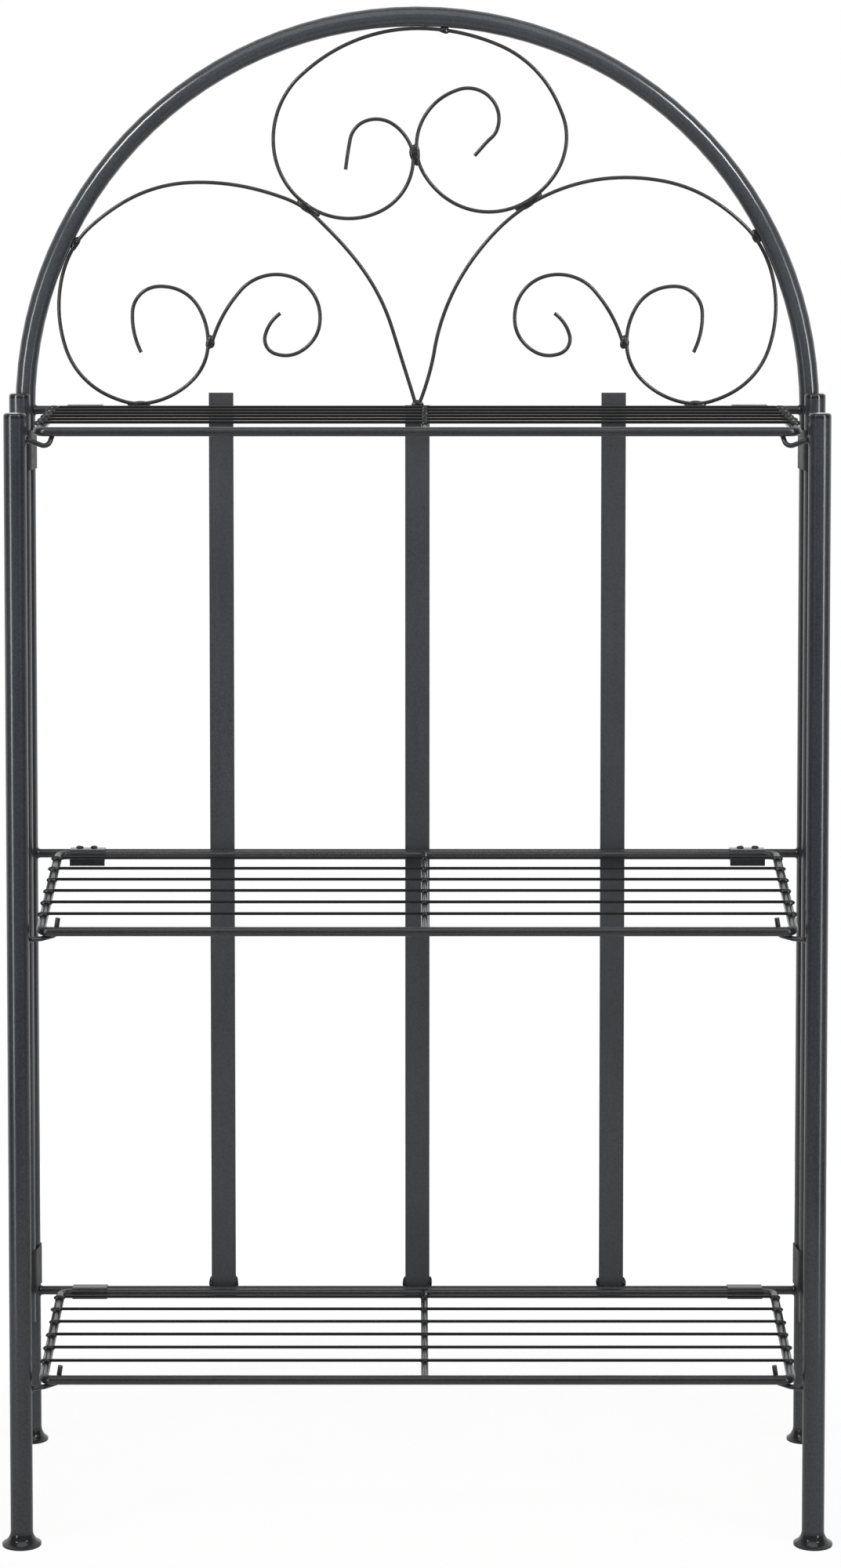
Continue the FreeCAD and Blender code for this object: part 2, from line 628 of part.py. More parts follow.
def shelf_wires(label, level):
    """Thin wires across the frame, welded on top of its side rods."""
    wire_half = f"({shelf_front_half} + sizes.shelf_wire_overhang)"
    wire_pitch = f"(({shelf_depth} - sizes.first_wire) / sizes.wire_count)"
    wires = []
    for index in range(int(mm("sizes.wire_count"))):
        wire = doc.addObject("Part::Cylinder", f"{label}_{index + 1}")
        wire.setExpression("Radius", "sizes.shelf_wire_radius")
        wire.setExpression("Height", f"2 * {wire_half}")
        place(wire, f"-{wire_half}", f"-sizes.first_wire - {index} * {wire_pitch}",
              "sizes.shelf_rod_radius + sizes.shelf_wire_radius", axis=(0, 1, 0), angle="90")
        wires.append(wire)
    return group(label, wires)


def hinge_clip(label, side, level):
    """Sheet-metal clip round the crossbar and the shelf's rear rod, with a tail on the middle shelf."""
    body = new_body(label)
    bar_hole = "sizes.crossbar_radius"
    rod_hole = "(sizes.shelf_rod_radius + sizes.running_clearance)"
    section = new_sketch(body, "YZ_Plane", "Section")
    draw_belt(section, bar_hole, rod_hole, f"-{rod_step}")
    draw_belt(section, f"{bar_hole} + sizes.clip_sheet", f"{rod_hole} + sizes.clip_sheet", f"-{rod_step}")
    pad(body, section, "sizes.clip_width", both_ways=True)
    if level == "middle":
        tail = new_sketch(body, "YZ_Plane", "Tail")
        inside, outside = f"-({rod_step} + {rod_hole})", f"-({rod_step} + {rod_hole} + sizes.clip_sheet)"
        draw_outline(tail, [(inside, "0"), (outside, "0"), (outside, "-sizes.clip_tail"),
                            (inside, "-sizes.clip_tail")])
        pad(body, tail, "sizes.clip_width", both_ways=True)
    place(body, f"{side} * ({shelf_rear_half} - sizes.clip_inset)", arch_y, bar_height[level])
    return body


for level, height in bar_height.items():
    lean = f"asin({shelf_drop[level]} / {shelf_depth})"
    shelf_place = f"placement(vector(0; {hinge_rod_y}; {height}); rotation(vector(1; 0; 0); {lean}))"
    place(shelf_frame(f"shelf_frame_{level}"), within=shelf_place)
    place(shelf_wires(f"shelf_wires_{level}", level), within=shelf_place)
    crossrod_lift = "(sizes.shelf_rod_radius - sizes.crossrod_radius)"
    crossrod = coped_bar(f"shelf_crossrod_{level}", "sizes.crossrod_radius", shelf_depth,
                         "sizes.shelf_rod_radius", f"-{crossrod_lift}")
    place(crossrod, "sizes.crossrod_offset", f"-{shelf_depth} / 2", crossrod_lift,
          axis=(1, 1, 1), angle="120", within=shelf_place)
    group(f"hinge_clips_{level}",
          [hinge_clip(f"clip_{level}_{side_name}", side, level) for side_name, side in sides.items()])


# ---- check and write -----------------------------------------------------------------------

doc.recompute()
for item in doc.Objects:
    if "Invalid" in item.State or "Error" in item.State:
        raise RuntimeError(f"{item.Label} failed: {item.State}")

grouped = {member.Name for item in doc.Objects if item.TypeId == "Part::Compound" for member in item.Links}
sub_parts = [item for item in doc.Objects
             if item.TypeId in ("PartDesign::Body", "Part::Box", "Part::Feature", "Part::Compound")
             and item.Name not in grouped]
for item in sub_parts:
    if item.Shape.isNull() or not item.Shape.isValid() or item.Shape.Volume <= 0:
        raise RuntimeError(f"{item.Label} has no valid solid")

os.makedirs("parts", exist_ok=True)
for item in sub_parts:
    item.Shape.exportStep(f"parts/{item.Label}.step")
print(f"wrote {len(sub_parts)} sub-parts")
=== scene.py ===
import math

import bpy
import numpy as np
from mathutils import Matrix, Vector


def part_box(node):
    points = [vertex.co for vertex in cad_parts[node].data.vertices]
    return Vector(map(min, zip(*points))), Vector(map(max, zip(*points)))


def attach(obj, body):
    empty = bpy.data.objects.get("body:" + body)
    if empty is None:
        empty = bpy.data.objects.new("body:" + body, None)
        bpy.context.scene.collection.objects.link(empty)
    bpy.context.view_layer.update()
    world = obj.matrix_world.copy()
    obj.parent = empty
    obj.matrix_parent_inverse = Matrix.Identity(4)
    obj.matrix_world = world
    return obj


# Looks of a folding bakers rack: black powder-coated steel tube, rod, wire and strip, with its
# welds, on black moulded feet and caps.  Metres, +Z up, the front faces -Y.

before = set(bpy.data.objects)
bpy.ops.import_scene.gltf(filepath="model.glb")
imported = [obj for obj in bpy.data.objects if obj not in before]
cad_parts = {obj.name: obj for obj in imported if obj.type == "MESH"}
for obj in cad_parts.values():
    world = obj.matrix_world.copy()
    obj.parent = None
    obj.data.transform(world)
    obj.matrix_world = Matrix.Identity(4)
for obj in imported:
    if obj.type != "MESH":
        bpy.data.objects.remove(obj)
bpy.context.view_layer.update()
mm = 0.001
levels = ("top", "middle", "bottom")
sides = {"left": -1, "right": 1}
rootBody = "back_and_sides"
print("frame loaded:", len(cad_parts), "nodes")


# Middle of a node's box, and half its size along axis 0, 1 or 2.
def middleOf(node):
    low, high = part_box(node)
    return (low + high) / 2


def halfSize(node, axis):
    low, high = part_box(node)
    return (high[axis] - low[axis]) / 2


# Measures read from the frame.
tubeRadius = halfSize("arch_tube", 1)
legX = halfSize("arch_tube", 0) - tubeRadius
archY = middleOf("arch_tube").y
archZ = middleOf("crossbar_top").z
barRadius = halfSize("crossbar_top", 2)
postRadius = halfSize("front_post_left", 0)
rodRadius = halfSize("shelf_frame_top", 2)
wireRadius = halfSize("shelf_wires_top", 2)


# Vectors divided by their lengths.
def unit(vectors):
    vectors = np.asarray(vectors, float)
    return vectors / np.linalg.norm(vectors, axis=-1, keepdims=True)


# Mesh object from whole arrays: points (n, 3), with quads and triangles as rows of point numbers,
# all turned outward by the sign of the volume that they enclose.
def makeMesh(name, points, quads, triangles=np.zeros((0, 3), int)):
    corners = points[np.concatenate([quads[:, [0, 1, 2]], quads[:, [0, 2, 3]], triangles])]
    volume = np.einsum("ij,ij->i", corners[:, 0], np.cross(corners[:, 1], corners[:, 2])).sum()
    turn = slice(None, None, -1) if volume < 0 else slice(None)
    rows = quads[:, turn].tolist() + triangles[:, turn].tolist()
    mesh = bpy.data.meshes.new(name)
    mesh.from_pydata(points.tolist(), [], rows)
    mesh.polygons.foreach_set("use_smooth", np.ones(len(rows), bool))
    mesh.validate()
    piece = bpy.data.objects.new(name, mesh)
    bpy.context.scene.collection.objects.link(piece)
    return piece


# Quads of closed rings: point (piece, ring, step) joins the next ring and the next step, and both
# wrap round.
def ringFaces(pieces, rings, around):
    piece, ring, step = np.indices((pieces, rings, around))
    ringAfter, stepAfter = (ring + 1) % rings, (step + 1) % around

    def number(ringIndex, stepIndex):
        return (piece * rings + ringIndex) * around + stepIndex
    return np.stack([number(ring, step), number(ringAfter, step),
                     number(ringAfter, stepAfter), number(ring, stepAfter)], -1).reshape(-1, 4)


# Quads of open rings: point (ring, step) joins the next ring and the next step, which wraps round.
def openRings(rings, around):
    ring, step = np.indices((rings - 1, around))
    after = (step + 1) % around
    return np.stack([ring * around + step, ring * around + after,
                     (ring + 1) * around + after, (ring + 1) * around + step], -1).reshape(-1, 4)


beadRipple = {"lobes": 3, "lobeSwell": 0.09, "twists": 2, "twistSwell": 0.06}


# Weld beads: a unit sphere at (turn, rise) is stretched to half-lengths along, across and through.
# It swells by 1 + lobeSwell sin(lobes turn + shift) + twistSwell sin(twists (rise + turn + shift)).
def lumps(name, centres, along, across, sizes, seed, rings, around):
    centres, sizes = np.asarray(centres, float), np.asarray(sizes, float)
    along, across = unit(along), unit(across)
    across = unit(across - along * np.sum(along * across, -1, keepdims=True))
    through = np.cross(along, across)
    count = len(centres)
    shift = np.random.default_rng(seed).uniform(0, 2 * math.pi, count)[:, None, None]
    rise = (np.arange(1, rings + 1) / (rings + 1) - 0.5)[None, :, None] * math.pi
    turn = (np.arange(around) / around)[None, None, :] * 2 * math.pi
    swell = (1 + beadRipple["lobeSwell"] * np.sin(beadRipple["lobes"] * turn + shift)
             + beadRipple["twistSwell"] * np.sin(beadRipple["twists"] * (rise + turn + shift)))
    local = np.stack([np.cos(rise) * np.cos(turn) * swell, np.cos(rise) * np.sin(turn) * swell,
                      np.sin(rise) * swell], -1) * sizes[:, None, None, :]
    axes = np.stack([along, across, through], 1)
    body = np.einsum("prak,pkx->prax", local, axes) + centres[:, None, None, :]
    reach = (through * sizes[:, 2:3])[:, None, :]
    poles = centres[:, None, :] + np.array([-1, 1])[None, :, None] * reach
    points = np.concatenate([body.reshape(count, -1, 3), poles], 1)
    pointsEach = rings * around + 2  # the two poles come last
    quads = openRings(rings, around)
    step = np.arange(around)
    after = (step + 1) % around
    last = (rings - 1) * around
    triangles = np.concatenate([
        np.stack([np.full(around, pointsEach - 2), after, step], -1),
        np.stack([np.full(around, pointsEach - 1), last + step, last + after], -1)])
    offset = (np.arange(count) * pointsEach)[:, None, None]
    return makeMesh(name, points.reshape(-1, 3), (quads[None] + offset).reshape(-1, 4),
                    (triangles[None] + offset).reshape(-1, 3))


filletRipple = {"waves": 5, "swell": 0.13, "fineWaves": 9, "fineSwell": 0.08, "hidden": 0.4 * mm}


# Fillet welds where a bar ends on an upright tube.  At angle a round the bar and t across the
# fillet, the distance from the bar's axis is bar + leg (1 - t)^2, and the distance from the tube's
# axis, along the bar, is sqrt(tube^2 - (distance sin a)^2) + leg t^2.  The leg is uneven by
# swell sin(waves a + shift) + fineSwell sin(fineWaves a + 2 shift), and the section closes at a
# hidden depth inside the metal.
def collars(name, axes, directions, bars, tubes, legs, seed, around, steps):
    axes, directions = np.asarray(axes, float), unit(directions)
    bars, tubes, legs = (np.asarray(v, float)[:, None, None] for v in (bars, tubes, legs))
    count = len(axes)
    shift = np.random.default_rng(seed).uniform(0, 2 * math.pi, count)[:, None, None]
    angle = (np.arange(around) / around)[None, None, :] * 2 * math.pi
    wave = np.sin(filletRipple["waves"] * angle + shift)
    fineWave = np.sin(filletRipple["fineWaves"] * angle + 2 * shift)
    leg = legs * (1 + filletRipple["swell"] * wave + filletRipple["fineSwell"] * fineWave)
    t = np.linspace(0, 1, steps)[None, :, None]
    distance = bars + leg * (1 - t) ** 2
    lift = leg * t ** 2
    hidden = filletRipple["hidden"]
    inner = np.broadcast_to(bars - hidden, leg.shape)
    distance = np.concatenate([distance, inner, inner, bars + leg], 1)
    lift = np.concatenate([lift, leg, 0 * leg - hidden, 0 * leg - hidden], 1)
    onTube = np.sqrt(np.maximum(tubes ** 2 - (distance * np.sin(angle)) ** 2, 0))
    sideways = np.cross(directions, [0, 0, 1])
    points = (axes[:, None, None, :] + (onTube + lift)[..., None] * directions[:, None, None, :]
              + (distance * np.sin(angle))[..., None] * sideways[:, None, None, :]
              + (distance * np.cos(angle))[..., None] * np.array([0, 0, 1]))
    return makeMesh(name, points.reshape(-1, 3), ringFaces(count, distance.shape[1], around))


# Linear colour of an sRGB hex value: v / 12.92 up to 0.04045, else ((v + 0.055) / 1.055)^2.4.
def linear(code):
    values = [int(code[i:i + 2], 16) / 255 for i in (1, 3, 5)]
    return tuple(v / 12.92 if v <= 0.04045 else ((v + 0.055) / 1.055) ** 2.4 for v in values) + (1,)


# One node with its settings, its values and its links.
def addNode(tree, kind, inputs, **settings):
    node = tree.nodes.new(kind)
    for key, value in settings.items():
        setattr(node, key, value)
    for key, value in inputs.items():
        if isinstance(value, bpy.types.NodeSocket):
            tree.links.new(value, node.inputs[key])
        else:
            node.inputs[key].default_value = value
    return node


# Material with an empty node tree.
def newMaterial(name):
    material = bpy.data.materials.new(name)
    material.use_nodes = True
    material.node_tree.nodes.clear()
    return material, material.node_tree


# Shared by every coat: how rich its noise is, and the part of each range that is spread over tone,
# settled dust and gloss.
coat = {
    "driftDetail": 3.0, "driftRoughness": 0.55, "streakDetail": 2.0, "grainDetail": 2.0,
    "grainRoughness": 0.5, "toneFrom": 0.32, "toneTo": 0.68, "dustFrom": 0.5, "dustTo": 1.0,
    "dustColour": "#8b8983", "glossFrom": 0.3, "glossTo": 0.7}


# Black coat over steel or plastic: a fine grain of the given width in height and tone, long soft
# streaks where the stretch is uneven, a slow drift of tone, and a trace of dust on upward faces.
def coating(name, look):
    material, tree = newMaterial(name)
    place = addNode(tree, "ShaderNodeTexCoord", {}).outputs["Object"]
    stretched = addNode(tree, "ShaderNodeMapping", {"Vector": place, "Scale": look["stretch"]})
    drift = addNode(tree, "ShaderNodeTexNoise", {
        "Vector": place, "Scale": 1 / look["driftWidth"], "Detail": coat["driftDetail"],
        "Roughness": coat["driftRoughness"]})
    streak = addNode(tree, "ShaderNodeTexNoise", {
        "Vector": stretched.outputs[0], "Scale": 1 / look["streakWidth"],
        "Detail": coat["streakDetail"]})
    grain = addNode(tree, "ShaderNodeTexNoise", {
        "Vector": place, "Scale": 1 / look["grainWidth"], "Detail": coat["grainDetail"],
        "Roughness": coat["grainRoughness"]})
    blotch = addNode(tree, "ShaderNodeMix", {0: look["grainShare"], 2: drift.outputs["Fac"],
                                             3: grain.outputs["Fac"]}, data_type="FLOAT")
    tone = addNode(tree, "ShaderNodeMapRange", {"Value": blotch.outputs[0], 1: coat["toneFrom"],
                                                2: coat["toneTo"]})
    colour = addNode(tree, "ShaderNodeMix", {0: tone.outputs[0], 6: linear(look["dark"]),
                                             7: linear(look["light"])}, data_type="RGBA")
    normal = addNode(tree, "ShaderNodeNewGeometry", {}).outputs["Normal"]
    upward = addNode(tree, "ShaderNodeSeparateXYZ", {0: normal}).outputs["Z"]
    settled = addNode(tree, "ShaderNodeMapRange", {"Value": upward, 1: coat["dustFrom"],
                                                   2: coat["dustTo"], 3: 0.0, 4: look["dust"]})
    speckle = addNode(tree, "ShaderNodeMath", {0: settled.outputs[0], 1: grain.outputs["Fac"]},
                      operation="MULTIPLY")
    dusty = addNode(tree, "ShaderNodeMix", {0: speckle.outputs[0], 6: colour.outputs[2],
                                            7: linear(coat["dustColour"])}, data_type="RGBA")
    gloss = addNode(tree, "ShaderNodeMapRange", {
        "Value": streak.outputs["Fac"], 1: coat["glossFrom"], 2: coat["glossTo"],
        3: look["gloss"][0], 4: look["gloss"][1]})
    relief = addNode(tree, "ShaderNodeMath", {0: streak.outputs["Fac"], 1: look["streakDepth"],
                                              2: grain.outputs["Fac"]}, operation="MULTIPLY_ADD")
    bump = addNode(tree, "ShaderNodeBump", {"Height": relief.outputs[0], "Strength": look["bump"],
                                            "Distance": look["depth"]})
    shader = addNode(tree, "ShaderNodeBsdfPrincipled", {
        "Base Color": dusty.outputs[2], "Roughness": gloss.outputs[0], "Normal": bump.outputs[0],
        "IOR": look["ior"]})
    addNode(tree, "ShaderNodeOutputMaterial", {"Surface": shader.outputs[0]})
    return material


# Polyester powder over drawn steel tube: satin charcoal black.  Its orange peel, 2 mm from crest to
# crest, breaks the tone into a fine grain, and the drawn tube under it gives faint upright streaks.
tubeCoat = coating("satinPowderOverTube", {
    "dark": "#272a2e", "light": "#373a3f", "gloss": (0.20, 0.26), "ior": 1.5, "dust": 0.03,
    "grainWidth": 2.0 * mm, "grainShare": 0.6, "depth": 0.10 * mm, "bump": 0.25,
    "stretch": (1, 1, 0.06), "streakWidth": 5 * mm, "streakDepth": 0.4, "driftWidth": 120 * mm})

# The same powder over the round top, where bending stretched the tube smooth: a finer peel without
# streaks, and a tighter gloss. Its tone is painted a shade lighter than the posts' coat: painted
# light that stands in for more light falling on the round top.
bentTubeCoatPaintedLight = coating("satinPowderOverBentTubePaintedLight", {
    "dark": "#2c2f32", "light": "#3a3d41", "gloss": (0.14, 0.19), "ior": 1.5, "dust": 0.03,
    "grainWidth": 2.0 * mm, "grainShare": 0.6, "depth": 0.05 * mm, "bump": 0.12,
    "stretch": (1, 1, 1), "streakWidth": 30 * mm, "streakDepth": 0.2, "driftWidth": 120 * mm})

# The same powder over cold-drawn rod: smoother, with die marks that run across the rack.
rodCoat = coating("satinPowderOverRod", {
    "dark": "#222426", "light": "#303235", "gloss": (0.20, 0.26), "ior": 1.5, "dust": 0.03,
    "grainWidth": 1.8 * mm, "grainShare": 0.6, "depth": 0.08 * mm, "bump": 0.25,
    "stretch": (0.06, 1, 1), "streakWidth": 3 * mm, "streakDepth": 0.4, "driftWidth": 90 * mm})

# Thin wire holds a thicker, rounder coat with little orange peel. Its tone is painted far darker
# than
# the same powder on tube and rod: painted shade, so the thin wires read a deeper black.
wireCoatPaintedDark = coating("satinPowderOverWirePaintedDark", {
    "dark": "#08080a", "light": "#0e0f11", "gloss": (0.20, 0.26), "ior": 1.4, "dust": 0.02,
    "grainWidth": 1.6 * mm, "grainShare": 0.4, "depth": 0.03 * mm, "bump": 0.08,
    "stretch": (0.05, 1, 1), "streakWidth": 2.5 * mm, "streakDepth": 0.4, "driftWidth": 60 * mm})

# Scroll wire was wound round a former: small tool flats break up its gloss every few centimetres.
scrollCoat = coating("satinPowderOverScroll", {
    "dark": "#1e1d1c", "light": "#2c2a29", "gloss": (0.16, 0.26), "ior": 1.5, "dust": 0.02,
    "grainWidth": 1.8 * mm, "grainShare": 0.4, "depth": 0.04 * mm, "bump": 0.12,
    "stretch": (0.5, 0.5, 0.5), "streakWidth": 9 * mm, "streakDepth": 0.9, "driftWidth": 40 * mm})

# Hot-rolled strip keeps shallow rolling waves under the coat and reads a shade lighter and flatter.
slatCoat = coating("satinPowderOverStrip", {
    "dark": "#2b2d30", "light": "#393b3e", "gloss": (0.30, 0.38), "ior": 1.5, "dust": 0.02,
    "grainWidth": 2.2 * mm, "grainShare": 0.6, "depth": 0.12 * mm, "bump": 0.3,
    "stretch": (1, 1, 0.08), "streakWidth": 8 * mm, "streakDepth": 0.7, "driftWidth": 150 * mm})

# Pressed strap: its sides are seen along their length, so a duller coat keeps them from mirroring
# the room.
strapCoat = coating("dullPowderOverStrap", {
    "dark": "#1b1c1f", "light": "#282a2d", "gloss": (0.42, 0.52), "ior": 1.4, "dust": 0.02,
    "grainWidth": 2.2 * mm, "grainShare": 0.5, "depth": 0.10 * mm, "bump": 0.3,
    "stretch": (1, 1, 1), "streakWidth": 6 * mm, "streakDepth": 0.6, "driftWidth": 30 * mm})

# Pressed sheet: flat and bright on its faces, which mirror the room, with a wider peel.
sheetCoat = coating("satinPowderOverSheet", {
    "dark": "#1b1c1f", "light": "#282a2d", "gloss": (0.12, 0.20), "ior": 1.5, "dust": 0.04,
    "grainWidth": 2.2 * mm, "grainShare": 0.5, "depth": 0.10 * mm, "bump": 0.3,
    "stretch": (1, 1, 1), "streakWidth": 6 * mm, "streakDepth": 0.6, "driftWidth": 30 * mm})

# Arc weld under powder: ripples 1.2 mm apart, so the coat pools dark and shines in spots.
weldCoat = coating("powderOverArcWeld", {
    "dark": "#111113", "light": "#222325", "gloss": (0.16, 0.32), "ior": 1.5, "dust": 0.02,
    "grainWidth": 1.2 * mm, "grainShare": 0.5, "depth": 0.25 * mm, "bump": 0.5,
    "stretch": (1, 1, 1), "streakWidth": 3 * mm, "streakDepth": 0.8, "driftWidth": 8 * mm})

# Moulded polyethylene feet and caps: black through and through, with a fine mould grain.
mouldedPlastic = coating("mouldedBlackPolyethylene", {
    "dark": "#1b1c1e", "light": "#28292c", "gloss": (0.12, 0.18), "ior": 1.51, "dust": 0.04,
    "grainWidth": 1.0 * mm, "grainShare": 0.5, "depth": 0.04 * mm, "bump": 0.25,
    "stretch": (1, 1, 1), "streakWidth": 4 * mm, "streakDepth": 0.5, "driftWidth": 12 * mm})

# Finish of each kind of node, by the start of its name.
looks = {
    "arch_tube": bentTubeCoatPaintedLight, "front_post": tubeCoat, "hinge_post": tubeCoat, "crossbar": rodCoat,
    "side_rail": rodCoat, "shelf_frame": rodCoat, "shelf_crossrod": rodCoat, "shelf_hooks": rodCoat,
    "shelf_wires": wireCoatPaintedDark, "scroll": scrollCoat, "curl": scrollCoat, "slat": slatCoat,
    "side_straps": strapCoat, "hinge_clips": sheetCoat, "front_foot": mouldedPlastic,
    "rear_foot": mouldedPlastic, "front_cap": mouldedPlastic, "hinge_cap": mouldedPlastic}

for name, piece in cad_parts.items():
    kind = next(start for start in looks if name.startswith(start))
    piece.data.materials.clear()
    piece.data.materials.append(looks[kind])
print("CAD nodes finished:", len(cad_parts))


# Coats a weld and sets it on the body that carries it.
def finishWeld(piece, body):
    piece.data.materials.append(weldCoat)
    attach(piece, body)


# Fillet welds at the ends of crossbars and side rails.  The grid is in points around the bar and
# steps across the fillet.
filletWelds = {"barLeg": 2.3 * mm, "railLeg": 2.1 * mm, "seed": 11, "grid": (28, 6)}

for level in levels:
    height = middleOf(f"crossbar_{level}").z
    ends = [(side * legX, archY, height) for side in sides.values()]
    count = len(ends)
    finishWeld(collars(f"crossbar_welds_{level}", ends, [(-side, 0, 0) for side in sides.values()],
                       [barRadius] * count, [tubeRadius] * count, [filletWelds["barLeg"]] * count,
                       filletWelds["seed"], *filletWelds["grid"]), rootBody)

for sideName, side in sides.items():
    front, hinge = middleOf(f"front_post_{sideName}"), middleOf(f"hinge_post_{sideName}")
    axes, directions = [], []
    for level in levels:
        height = middleOf(f"side_rail_{level}_{sideName}").z
        run = np.array([hinge.x - front.x, hinge.y - front.y, 0])
        axes += [(front.x, front.y, height), (hinge.x, hinge.y, height)]
        directions += [run, -run]
    count = len(axes)
    finishWeld(collars(f"side_rail_welds_{sideName}", axes, directions, [rodRadius] * count,
                       [postRadius] * count, [filletWelds["railLeg"]] * count,
                       filletWelds["seed"] + side, *filletWelds["grid"]), rootBody)
print("fillet welds made")


# Webs of weld that hold the scrolls.  Each row gives a web's middle from the centre of the round
# top, across and up, the direction that it runs in, in degrees, and its half-length and half-width.
# Grids of beads are given in rings and points around.
scrollWelds = {
    "thick": 2.0 * mm, "seed": 23, "grid": (9, 20),
    "webs": {
        "crownToArch": (22.9 * mm, 324.4 * mm, -4, 4.6 * mm, 3.2 * mm),
        "crownCurls": (-2.0 * mm, 218.6 * mm, 98, 8.8 * mm, 4.8 * mm),
        "crownToLeft": (-93.7 * mm, 172.8 * mm, -35, 11 * mm, 3.8 * mm),
        "crownToRight": (94.9 * mm, 177.4 * mm, 32, 12.5 * mm, 3.8 * mm),
        "leftToArch": (-292.4 * mm, 142.6 * mm, 64, 6.5 * mm, 3.4 * mm),
        "rightToArch": (289.6 * mm, 148.5 * mm, -63, 6.5 * mm, 3.4 * mm),
        "leftToCurl": (-177.4 * mm, 58.0 * mm, 90, 5.8 * mm, 4.0 * mm),
        "rightToCurl": (177.4 * mm, 58.0 * mm, 90, 5.8 * mm, 4.0 * mm),
        "leftToBar": (-238.1 * mm, 4.6 * mm, 0, 9.5 * mm, 3.2 * mm),
        "rightToBar": (238.1 * mm, 4.6 * mm, 0, 9.5 * mm, 3.2 * mm),
        "startsOnBar": (0.0, 5.2 * mm, 0, 5.5 * mm, 3.2 * mm)}}


def scrollWebs():
    rows = np.array(list(scrollWelds["webs"].values()))
    count = len(rows)
    turn = np.radians(rows[:, 2])
    centres = np.stack([rows[:, 0], np.full(count, archY), archZ + rows[:, 1]], -1)
    along = np.stack([np.cos(turn), 0 * turn, np.sin(turn)], -1)
    across = np.stack([-np.sin(turn), 0 * turn, np.cos(turn)], -1)
    sizes = np.stack([rows[:, 3], rows[:, 4], np.full(count, scrollWelds["thick"])], -1)
    return lumps("scroll_welds", centres, along, across, sizes, scrollWelds["seed"],
                 *scrollWelds["grid"])


finishWeld(scrollWebs(), rootBody)
print("scroll welds made")


# Beads that hold the slats to the crossbars, and the flared welds at the foot of each slat.
slatWelds = {
    "long": 3.0 * mm, "wide": 1.6 * mm, "thick": 1.6 * mm, "inset": 3 * mm, "forward": 0.6 * mm,
    "offAxis": 1.9 * mm, "flareLong": 5.5 * mm, "flareWide": 2.4 * mm, "flareThick": 1.7 * mm,
    "flareRise": 5.0 * mm, "seed": 37, "grid": (7, 14)}


def slatBeads():
    centres, along, across, sizes = [], [], [], []
    for slatName in ("left", "centre", "right"):
        low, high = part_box(f"slat_{slatName}")
        for level in levels:
            height = middleOf(f"crossbar_{level}").z
            for x in (low.x + slatWelds["inset"], high.x - slatWelds["inset"]):
                for step in (-slatWelds["offAxis"], slatWelds["offAxis"]):
                    centres.append((x, low.y - slatWelds["forward"], height + step))
                    along.append((1, 0, 0))
                    across.append((0, 0, 1))
                    sizes.append((slatWelds["long"], slatWelds["wide"], slatWelds["thick"]))
        foot = middleOf("crossbar_bottom").z + slatWelds["flareRise"]
        for x in (low.x, high.x):
            centres.append((x, (low.y + high.y) / 2, foot))
            along.append((0, 0, 1))
            across.append((1, 0, 0))
            sizes.append((slatWelds["flareLong"], slatWelds["flareWide"], slatWelds["flareThick"]))
    return lumps("slat_welds", centres, along, across, sizes, slatWelds["seed"], *slatWelds["grid"])


# Beads where the hooks leave the front posts, ring hooks at the top and stub hooks below.  Each row
# gives a place from the post's axis, towards the middle and towards the back, its drop below the
# axis of the shelf's front rod, and the direction in which the hook's wire runs.
hookWelds = {
    "ring": (7.9 * mm, 5.2 * mm, 5.7 * mm, (0.92, 0.20, -0.35)),
    "stub": (7.4 * mm, 5.8 * mm, 6.05 * mm, (0.90, 0.43, 0.0)),
    "long": 3.2 * mm, "wide": 3.0 * mm, "thick": 2.9 * mm, "seed": 38, "grid": (7, 14)}


def hookBeads():
    centres, along = [], []
    for sideName, side in sides.items():
        post = middleOf(f"front_post_{sideName}")
        for level in levels:
            inward, back, drop, run = hookWelds["ring" if level == "top" else "stub"]
            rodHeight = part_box(f"shelf_frame_{level}")[0].z + rodRadius
            centres.append((post.x - side * inward, post.y + back, rodHeight - drop))
            along.append((-side * run[0], run[1], run[2]))
    count = len(centres)
    sizes = [(hookWelds["long"], hookWelds["wide"], hookWelds["thick"])] * count
    return lumps("hook_welds", centres, along, [(0, 0, 1)] * count, sizes, hookWelds["seed"],
                 *hookWelds["grid"])


# Two spots of weld on top of each clip of the middle shelf, placed in parts of the clip's width
# from its outer end.
clipWelds = {
    "places": (0.25, 0.67), "clipWidth": 30 * mm, "back": 0.5 * mm,
    "long": 3.2 * mm, "wide": 2.6 * mm, "thick": 1.6 * mm, "seed": 41, "grid": (7, 14)}


def clipBeads():
    low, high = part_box("hinge_clips_middle")
    barAxis = middleOf("crossbar_middle")
    centres = []
    for side, outer in ((1, high.x), (-1, low.x)):
        for place in clipWelds["places"]:
            centres.append((outer - side * place * clipWelds["clipWidth"],
                            barAxis.y - clipWelds["back"], high.z))
    count = len(centres)
    sizes = [(clipWelds["long"], clipWelds["wide"], clipWelds["thick"])] * count
    return lumps("clip_welds_middle", centres, [(1, 0, 0)] * count, [(0, 1, 0)] * count, sizes,
                 clipWelds["seed"], *clipWelds["grid"])


finishWeld(slatBeads(), rootBody)
finishWeld(hookBeads(), rootBody)
finishWeld(clipBeads(), rootBody)
print("slat, hook and clip welds made")


# Flattened beads where each thin wire crosses the side rods and the rod in the middle, and where
# that rod ends on the frame.  Sizes are half-lengths along, across and through.
shelfWelds = {
    "wireCount": 6, "wireOverhang": 1.5 * mm, "rise": 0.4 * mm, "endInset": 4.2 * mm,
    "onSides": (5.0 * mm, 2.8 * mm, 2.3 * mm), "onMiddle": (3.4 * mm, 2.1 * mm, 1.9 * mm),
    "atEnds": (4.4 * mm, 2.4 * mm, 2.6 * mm), "seed": 53, "grid": (5, 10)}


